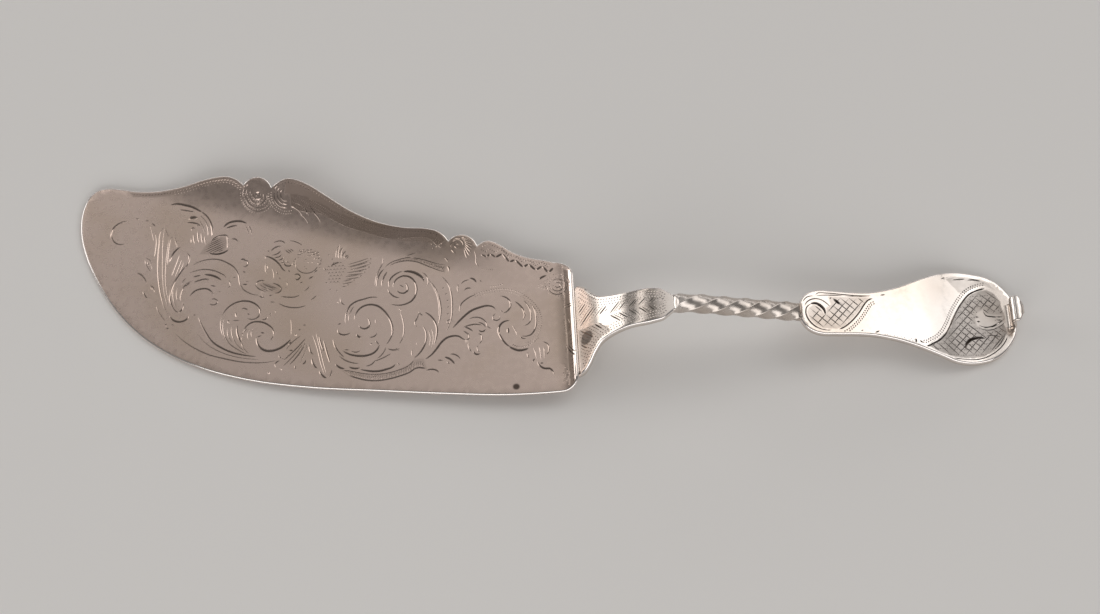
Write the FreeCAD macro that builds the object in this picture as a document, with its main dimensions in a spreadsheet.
"""Silver fish server: a sheet blade soldered to a forged handle.

The server lies as it does on a table. Design axes: X runs along the handle's centre line, away from
the blade, with X = 0 at the blade's heel. Y = 0 is the handle's centre line, and the blade's scalloped
back is on the +Y side. Z = 0 is the table. The two finished pieces are then moved together, so that
the origin is on the table under the middle of the server. All sizes are in millimetres.
"""

import FreeCAD, Part
import math
import os
import Sketcher
from FreeCAD import Placement, Rotation, Vector

# Driving sizes
SIZES = (
    ("blade_length", 149.2, "heel to the end of the blade's nose"),
    ("blade_gauge", 1.2, "thickness of the blade's sheet"),
    ("back_reach", 58.8, "handle line to the top of the blade's back"),
    ("nose_offset", 46.5, "handle line to the end of the nose"),
    ("heel_back", 23.7, "handle line to the back corner of the heel"),
    ("heel_front", 18.5, "handle line to the front corner of the heel"),
    ("heel_corner", 5.5, "radius of the heel's two corners"),
    ("near_scallop", 32.7, "heel to the middle of the near scallop"),
    ("far_scallop", 94.7, "heel to the middle of the far scallop"),
    ("scallop_span", 8.7, "width of a scallop between its notches"),
    ("scallop_rise", 2.4, "height of a scallop above its notches"),
    ("heel_height", 4.8, "table to the underside of the blade near the heel"),
    ("heel_lift", 2.0, "how far the heel is turned up"),
    ("heel_turn", 4.6, "width of the turned-up strip at the heel"),
    ("back_lift", 2.6, "how far the back is turned up"),
    ("back_turn", 12.0, "width of the turned-up band at the back"),
    ("handle_gauge", 2.2, "thickness of the handle's flat parts"),
    ("lap", 5.0, "how far the fan runs under the blade"),
    ("fan_width", 28.6, "width of the fan at the heel"),
    ("waist_width", 11.4, "width of the flat behind the fan"),
    ("neck_width", 5.2, "width of the handle where it meets the twist"),
    ("shoulder_length", 28.0, "heel to the start of the twist"),
    ("shoulder_height", 23.3, "table to the middle of the handle at the start of the twist"),
    ("stem_length", 38.5, "length of the twist"),
    ("stem_side", 4.3, "side of the twisted square bar"),
    ("stem_turns", 1.5, "turns in the twist"),
    ("grip_height", 12.75, "table to the middle of the handle at the end of the twist"),
    ("grip_length", 65.5, "end of the twist to the round end of the grip"),
    ("grip_width", 30.1, "width of the grip's round end"),
    ("grip_waist", 14.1, "width of the grip's narrow half"),
    ("curl_width", 8.3, "width of the rolled tip"),
    ("curl_radius", 2.1, "outer radius of the rolled tip"),
    ("curl_gauge", 1.2, "thickness of the rolled tip"),
    ("curl_height", 8.7, "table to the top of the rolled tip"),
)

doc = FreeCAD.newDocument("fish_server")
sheet = doc.addObject("Spreadsheet::Sheet", "sizes")
for row, (alias, value, meaning) in enumerate(SIZES, start=1):
    sheet.set(f"A{row}", alias)
    sheet.set(f"B{row}", str(value))
    sheet.set(f"C{row}", meaning)
    sheet.setAlias(f"B{row}", alias)
doc.recompute()


def size(alias):
    """The value of a driving size."""
    return float(getattr(sheet, alias))


CLEAR = 5.0  # how far a cutting prism stands past what it cuts
BITE = 1.0  # how far the twisted bar runs into the flat parts that it joins
TAB_SETBACK = 1.65  # how far inside the grip's round end the middle of the tab is where its roll starts
TWIST_EASE = 0.12  # how much tighter the twist gets towards the grip

# Sizes that follow from the driving ones
STEM_START = size("shoulder_length")
GRIP_START = STEM_START + size("stem_length")
GRIP_END = GRIP_START + size("grip_length")
TAB_STATION = GRIP_END - TAB_SETBACK
CURL_STATION = TAB_STATION + size("curl_radius") - size("curl_gauge") / 2
BLADE_CORNER_FRONT = size("heel_front") - size("heel_corner")
BLADE_CORNER_BACK = size("heel_back") - size("heel_corner")

# Where the blade's belly rests on the table, as shares of its length and of the nose's offset
REST_STATION = 0.94 * size("blade_length")
REST_OFFSET = 0.47 * size("nose_offset")
SIDE_SHARE = 0.6  # the blade's slope across, for each unit of its slope along

# The turned-up back fades out between these stations, so that the heel lies flat on the fan
FADE_START = 0.35 * size("blade_length")
FADE_END = 0.06 * size("blade_length")


# Outlines


def point(x, y):
    return Vector(x, y, 0)


def turned(vector):
    """The vector turned a quarter clockwise."""
    return Vector(vector.y, -vector.x, 0)


def smooth(points):
    """A smooth curve through the points."""
    curve = Part.BSplineCurve()
    curve.interpolate(points)
    return curve


def between(start, end, shape):
    """A smooth curve from start to end. Shape lists (share of the way, share of the chord outwards)."""
    chord = end - start
    return smooth([start, *[start + chord * along + turned(chord) * out for along, out in shape], end])


def bulge(start, end, rise):
    """A round arc from start to end that stands out by rise."""
    chord = end - start
    top = start + chord * 0.5 + turned(chord).normalize() * rise
    return Part.Arc(start, top, end)


def corner(start, end, centre):
    """The quarter circle between two points of a rounded corner."""
    radius = (start - centre).Length
    out = ((start + end) * 0.5 - centre).normalize() * radius
    return Part.Arc(start, centre + out, end)


def closed_band(upper, lower):
    """A closed outline of an upper edge, drawn forwards, and a lower edge, drawn back."""
    return (
        upper,
        Part.LineSegment(upper.EndPoint, lower.StartPoint),
        lower,
        Part.LineSegment(lower.EndPoint, upper.StartPoint),
    )


def both_sides(half):
    """A closed outline, the same on both sides of the handle's line, from points on its +Y half."""
    mirrored = [point(place.x, -place.y) for place in reversed(half)]
    return closed_band(smooth(half), smooth(mirrored))


def ribbon(middle, start_gauge, end_gauge):
    """The upper and the lower edge of a ribbon about a smooth line. Its gauge varies evenly."""
    curve = smooth(middle)
    start, end = curve.FirstParameter, curve.LastParameter
    steps = 3 * len(middle)
    upper, lower = [], []
    for i in range(steps + 1):
        share = i / steps
        place, along = curve.getD1(start + (end - start) * share)
        half = (start_gauge + (end_gauge - start_gauge) * share) / 2
        out = turned(along).normalize() * half
        upper.append(place - out)
        lower.append(place + out)
    return smooth(upper), smooth(lower[::-1])


# Document objects


def meeting_ends(first, second):
    """Which ends of two curves meet: 1 for a curve's start and 2 for its end."""
    pairs = [
        (own.distanceToPoint(other), own_end, other_end)
        for own_end, own in enumerate((first.StartPoint, first.EndPoint), start=1)
        for other_end, other in enumerate((second.StartPoint, second.EndPoint), start=1)
    ]
    return min(pairs)[1:]


def sketched(name, curves, upright=False):
    """A closed sketch of the curves, whose arcs are all drawn anticlockwise.

    An upright sketch lies in the plane through the handle's line: its x is X and its y is Z.
    """
    sketch = doc.addObject("Sketcher::SketchObject", name)
    if upright:
        sketch.Placement = Placement(Vector(0, 0, 0), Rotation(Vector(1, 0, 0), 90))
    sketch.addGeometry(list(curves), False)
    for i in range(len(curves)):
        following = (i + 1) % len(curves)
        own_end, other_end = meeting_ends(curves[i], curves[following])
        sketch.addConstraint(Sketcher.Constraint("Coincident", i, own_end, following, other_end))
    return sketch


def pad(name, sketch, forward, backward=None):
    """A solid made by extruding a sketch along its normal. The lengths are expressions."""
    solid = doc.addObject("Part::Extrusion", name)
    solid.Base = sketch
    solid.DirMode = "Normal"
    solid.Solid = True
    solid.setExpression("LengthFwd", forward)
    if backward:
        solid.setExpression("LengthRev", backward)
    return solid


def common(name, base, tool):
    """What two solids share."""
    solid = doc.addObject("Part::Common", name)
    solid.Base = base
    solid.Tool = tool
    return solid


def cut(name, base, tool):
    """One solid less another."""
    solid = doc.addObject("Part::Cut", name)
    solid.Base = base
    solid.Tool = tool
    return solid


# Blade


def back_line(x):
    """The straight line that the blade's back follows on average."""
    near_reach = 0.40 * size("back_reach")
    far_reach = 1.01 * size("back_reach")
    share = -x / size("blade_length")
    return near_reach + (far_reach - near_reach) * (share - 0.033) / 0.694


def eased(share):
    """0 to 1 with level ends."""
    share = min(max(share, 0.0), 1.0)
    return share * share * (3 - 2 * share)


def blade_underside(x, y):
    """Height of the blade's lower surface: a tilted plane, turned up at the heel and along the back."""
    slope = size("heel_height") / (REST_STATION - SIDE_SHARE * REST_OFFSET)
    plane = slope * (x + REST_STATION) + SIDE_SHARE * slope * (y - REST_OFFSET)
    heel_share = max(0.0, 1 + x / size("heel_turn"))
    back_share = max(0.0, 1 - (back_line(x) - y) / size("back_turn"))
    fade = eased((-x - FADE_END) / (FADE_START - FADE_END))
    return plane + size("heel_lift") * heel_share**2 + size("back_lift") * fade * back_share**2


def scallop_notch(station, height_share, slope, side):
    """A notch of the back beside a scallop. Side is 1 on the heel's side and -1 on the nose's side."""
    half = size("scallop_span") / 2
    return point(-station + side * half, height_share * size("back_reach") - side * slope * half)


def blade_outline():
    """The blade's edge seen from above, anticlockwise from the front corner of the heel."""
    radius = size("heel_corner")
    front_corner = point(-radius, -size("heel_front"))
    heel_front = point(0, -BLADE_CORNER_FRONT)
    heel_back = point(0, BLADE_CORNER_BACK)
    back_corner = point(-radius, size("heel_back"))
    near_in = scallop_notch(size("near_scallop"), 0.540, 0.24, 1)
    near_out = scallop_notch(size("near_scallop"), 0.540, 0.24, -1)
    far_in = scallop_notch(size("far_scallop"), 0.933, 0.20, 1)
    far_out = scallop_notch(size("far_scallop"), 0.933, 0.20, -1)
    nose = point(-size("blade_length"), size("nose_offset"))
    shoulder = ((0.15, 0.001), (0.28, -0.008), (0.42, -0.004), (0.55, 0.018), (0.65, 0.050), (0.75, 0.082),
                (0.84, 0.095), (0.90, 0.088), (0.96, 0.046))
    ogee = ((0.03, 0.018), (0.066, 0.028), (0.13, 0.024), (0.24, -0.002), (0.39, -0.015), (0.54, -0.001),
            (0.70, 0.036), (0.81, 0.061), (0.885, 0.066), (0.94, 0.056), (0.975, 0.029))
    far_ogee = ((0.032, 0.040), (0.086, 0.074), (0.143, 0.088), (0.221, 0.096), (0.361, 0.095), (0.518, 0.109),
                (0.632, 0.138), (0.725, 0.177), (0.809, 0.204), (0.865, 0.202), (0.914, 0.174), (0.965, 0.103))
    belly = ((0.013, 0.025), (0.035, 0.054), (0.079, 0.097), (0.142, 0.142), (0.204, 0.171), (0.274, 0.188),
             (0.353, 0.192), (0.44, 0.183), (0.553, 0.157), (0.674, 0.119), (0.796, 0.080), (0.916, 0.038))
    return (
        corner(front_corner, heel_front, point(-radius, -BLADE_CORNER_FRONT)),
        Part.LineSegment(heel_front, heel_back),
        corner(heel_back, back_corner, point(-radius, BLADE_CORNER_BACK)),
        between(back_corner, near_in, shoulder),
        bulge(near_in, near_out, size("scallop_rise")),
        between(near_out, far_in, ogee),
        bulge(far_in, far_out, size("scallop_rise")),
        between(far_out, nose, far_ogee),
        between(nose, front_corner, belly),
    )


def curved_sheet(thickness):
    """A sheet over the whole blade, with the blade's underside as its lower face."""
    strip = size("heel_turn")
    low_x, bend_x, high_x = -size("blade_length") - CLEAR, -1.6 * strip, 0.3 * strip
    low_y, high_y = -size("heel_front") - CLEAR, size("back_reach") + CLEAR
    long_steps, bend_steps, cross_steps = 22, 6, 20
    stations = [low_x + (bend_x - low_x) * i / long_steps for i in range(long_steps)]
    stations += [bend_x + (high_x - bend_x) * i / bend_steps for i in range(bend_steps + 1)]
    offsets = [low_y + (high_y - low_y) * i / cross_steps for i in range(cross_steps + 1)]
    surface = Part.BSplineSurface()
    surface.interpolate([[Vector(x, y, blade_underside(x, y)) for y in offsets] for x in stations])
    sheet_solid = doc.addObject("Part::Feature", "curved_sheet")
    sheet_solid.Shape = surface.toShape().extrude(Vector(0, 0, thickness))
    return sheet_solid


# Handle


def shoulder_side():
    """The shoulder seen from the side: under the blade, up steeply, then over to the level neck."""
    length, height, lap = size("shoulder_length"), size("shoulder_height"), size("lap")
    gauge = size("handle_gauge")

    def lap_middle(x):
        return point(x, blade_underside(x, 0) - 0.25 * gauge)

    heel = lap_middle(0)
    climb = ((0.071, 0.123), (0.16, 0.314), (0.286, 0.531), (0.43, 0.713), (0.61, 0.877), (0.79, 0.971), (1, 1))
    middle = [lap_middle(-lap * (1 - i / 4)) for i in range(5)]
    middle += [point(length * along, heel.y + (height - heel.y) * up) for along, up in climb]
    return closed_band(*ribbon(middle, gauge, gauge))


def shoulder_plan():
    """The fan, the waist and the rounded end at the neck, seen from above."""
    length = size("shoulder_length")
    fan, waist, neck = size("fan_width") / 2, size("waist_width") / 2, size("neck_width") / 2
    flare, close = fan - waist, waist - neck
    half = (
        (-size("lap") - CLEAR, fan),
        (0, fan),
        (0.071 * length, waist + 0.94 * flare),
        (0.107 * length, waist + 0.82 * flare),
        (0.179 * length, waist + 0.45 * flare),
        (0.250 * length, waist + 0.20 * flare),
        (0.357 * length, waist + 0.075 * flare),
        (0.500 * length, waist),
        (0.786 * length, waist - 0.08 * close),
        (0.893 * length, waist - 0.29 * close),
        (0.946 * length, waist - 0.63 * close),
        (length, neck),
    )
    return both_sides([point(x, y) for x, y in half])


def stem_path():
    """The twisted bar's centre line: over its crest, then straight down to the grip."""
    length, high, low = size("stem_length"), size("shoulder_height"), size("grip_height")
    shape = ((0, 0), (0.083, 0.010), (0.195, 0.095), (0.364, 0.284), (0.68, 0.640), (1, 1))
    places = [Vector(STEM_START + length * along, 0, high + (low - high) * down) for along, down in shape]
    return smooth(places)


def stem_sections():
    """Square sections along the bar, each turned a little further, with flat ones at the ends."""
    path = stem_path()
    start, end = path.FirstParameter, path.LastParameter
    steps = round(16 * size("stem_turns"))
    sections = []
    for i in range(-1, steps + 2):
        share = min(max(i / steps, 0), 1)
        place, along = path.getD1(start + (end - start) * share)
        along.normalize()
        place += along * BITE * (i / steps - share) * steps
        eased_share = share * (1 - TWIST_EASE) + TWIST_EASE * share**2
        flat = i in (-1, steps + 1)
        section = doc.addObject("Part::Plane", f"stem_section_{i + 1}")
        section.setExpression("Length", "sizes.handle_gauge" if flat else "sizes.stem_side")
        section.setExpression("Width", "sizes.neck_width" if flat else "sizes.stem_side")
        doc.recompute()
        centred = Placement(Vector(-section.Length / 2, -section.Width / 2, 0), Rotation())
        spin = Placement(Vector(), Rotation(Vector(0, 0, 1), -360 * size("stem_turns") * eased_share))
        section.Placement = Placement(place, Rotation(Vector(0, 0, 1), along)).multiply(spin).multiply(centred)
        sections.append(section)
    return sections


def grip_side():
    """The grip seen from the side: straight down from the twist, then bent to lie on the table."""
    gauge, length = size("handle_gauge"), size("grip_length")
    floor = gauge / 2
    drop = size("grip_height") - floor
    fall = ((0, 1), (0.119, 0.854), (0.230, 0.717), (0.342, 0.601), (0.452, 0.519), (0.562, 0.438),
            (0.638, 0.318), (0.705, 0.163), (0.764, 0.070), (0.817, 0.018), (0.879, 0), (0.938, 0), (1.03, 0))
    middle = [point(GRIP_START + length * along, floor + drop * up) for along, up in fall]
    return closed_band(*ribbon(middle, gauge, gauge))


def grip_plan():
    """The grip seen from above: a narrow half, then a round end."""
    length, tab = size("grip_length"), size("curl_width") / 2
    waist, wide, neck = size("grip_waist") / 2, size("grip_width") / 2, size("neck_width") / 2
    flare = wide - waist
    narrow = ((0.008, 0.63), (0.027, 0.81), (0.053, 0.945), (0.084, 1.015), (0.145, 1.01), (0.267, 0.975),
              (0.328, 1.0))
    swell = ((0.390, 0.09), (0.450, 0.21), (0.512, 0.39), (0.573, 0.59), (0.633, 0.775), (0.694, 0.94),
             (0.756, 1.0))
    end = ((0.817, 0.977), (0.878, 0.91), (0.924, 0.795), (0.954, 0.665), (0.973, 0.555), (0.989, 0.44))
    half = [point(GRIP_START - BITE / 2, neck)]
    half += [point(GRIP_START + length * along, share * waist) for along, share in narrow]
    half += [point(GRIP_START + length * along, waist + share * flare) for along, share in swell]
    half += [point(GRIP_START + length * along, share * wide) for along, share in end]
    half.append(point(GRIP_END, tab))
    return both_sides(half)


def tab_side():
    """The rolled tip seen from the side: bent up at the grip's end, then rolled over outwards."""
    gauge, curl, floor = size("curl_gauge"), size("curl_radius"), size("handle_gauge") / 2
    rise = size("curl_height") - curl
    centre = point(CURL_STATION, rise)

    def on_curl(radius, angle):
        turn = math.radians(angle)
        return centre + point(math.cos(turn), math.sin(turn)) * radius

    inner, start, top, last = curl - gauge, 200, 60, -85
    lead = point(-math.sin(math.radians(start)), math.cos(math.radians(start))) * 0.6 * gauge
    middle = [
        point(TAB_STATION - 3.0 * curl, floor),
        point(TAB_STATION - 1.1 * curl, floor + 0.01 * rise),
        point(TAB_STATION + 0.04 * curl, floor + 0.11 * rise),
        point(TAB_STATION + 0.40 * curl, floor + 0.33 * rise),
        point(TAB_STATION + 0.28 * curl, floor + 0.57 * rise),
        on_curl(curl - gauge / 2, start) + lead,
    ]
    upper, lower = ribbon(middle, 1.5 * gauge, gauge)
    return (
        upper,
        Part.LineSegment(upper.EndPoint, on_curl(curl, start)),
        Part.Arc(on_curl(curl, last), on_curl(curl, top), on_curl(curl, start)),
        Part.LineSegment(on_curl(curl, last), on_curl(inner, last)),
        Part.Arc(on_curl(inner, last), on_curl(inner, top), on_curl(inner, start)),
        Part.LineSegment(on_curl(inner, start), lower.StartPoint),
        lower,
        Part.LineSegment(lower.EndPoint, upper.StartPoint),
    )


def tab_plan():
    """The tab seen from above: straight sides and a round end."""
    start, half = TAB_STATION - CLEAR, size("curl_width") / 2
    tip = point(CURL_STATION + 1.12 * size("curl_radius"), 0)
    back, front = point(start, half), point(start, -half)
    back_corner, front_corner = point(CURL_STATION, half), point(CURL_STATION, -half)
    return (
        Part.LineSegment(front, front_corner),
        Part.Arc(front_corner, tip, back_corner),
        Part.LineSegment(back_corner, back),
        Part.LineSegment(back, front),
    )


def tab_slot():
    """The room in the grip's end out of which the tab is bent up."""
    box = doc.addObject("Part::Box", "tab_slot")
    box.Length = 2 * CLEAR
    box.setExpression("Width", "sizes.curl_width")
    box.setExpression("Height", "3 * sizes.handle_gauge")
    box.Placement.Base = Vector(TAB_STATION - 0.2 * size("curl_radius"), -size("curl_width") / 2,
                                -size("handle_gauge"))
    return box


# The blade's solid, and the room that it takes above its underside
blade_prism = pad("blade_prism", sketched("blade_plan", blade_outline()), "sizes.shoulder_height")
blade = common("blade", curved_sheet(size("blade_gauge")), blade_prism)
seat = common("seat", curved_sheet(2 * size("handle_gauge")), blade_prism)

# The handle's solids
shoulder = common(
    "shoulder",
    pad("shoulder_band", sketched("shoulder_side", shoulder_side(), upright=True),
        "sizes.fan_width", "sizes.fan_width"),
    pad("shoulder_prism", sketched("shoulder_plan", shoulder_plan()), "2 * sizes.shoulder_height"),
)
stem = doc.addObject("Part::Loft", "stem")
stem.Sections = stem_sections()
stem.Solid = True
grip_plate = common(
    "grip_plate",
    pad("grip_band", sketched("grip_side", grip_side(), upright=True), "sizes.grip_width", "sizes.grip_width"),
    pad("grip_prism", sketched("grip_plan", grip_plan()), "2 * sizes.shoulder_height"),
)
grip = cut("grip", grip_plate, tab_slot())
tab = common(
    "tab",
    pad("tab_band", sketched("tab_side", tab_side(), upright=True), "sizes.curl_width", "sizes.curl_width"),
    pad("tab_prism", sketched("tab_plan", tab_plan()), "2 * sizes.curl_height"),
)
handle_blank = doc.addObject("Part::MultiFuse", "handle_blank")
handle_blank.Shapes = [shoulder, stem, grip, tab]
handle = cut("handle", handle_blank, seat)
doc.recompute()

# Both pieces are moved together, to put the origin under the middle of the server
pieces = (blade, handle)
box = Part.makeCompound([piece.Shape for piece in pieces]).optimalBoundingBox()
middle = Vector((box.XMin + box.XMax) / 2, (box.YMin + box.YMax) / 2, box.ZMin)
for piece in pieces:
    piece.Label = piece.Name
    piece.Placement = Placement(-middle, Rotation())
doc.recompute()

faulty = [item.Name for item in doc.Objects if "Invalid" in item.State or "Error" in item.State]
faulty += [piece.Name for piece in pieces if piece.Shape.isNull() or not piece.Shape.isValid()]
faulty += [piece.Name for piece in pieces if len(piece.Shape.Solids) != 1]
if faulty:
    raise RuntimeError(f"these did not build: {faulty}")

os.makedirs("parts", exist_ok=True)
for piece in pieces:
    piece.Shape.exportStep(f"parts/{piece.Label}.step")
    print(piece.Label, round(piece.Shape.Volume), "cubic millimetres")
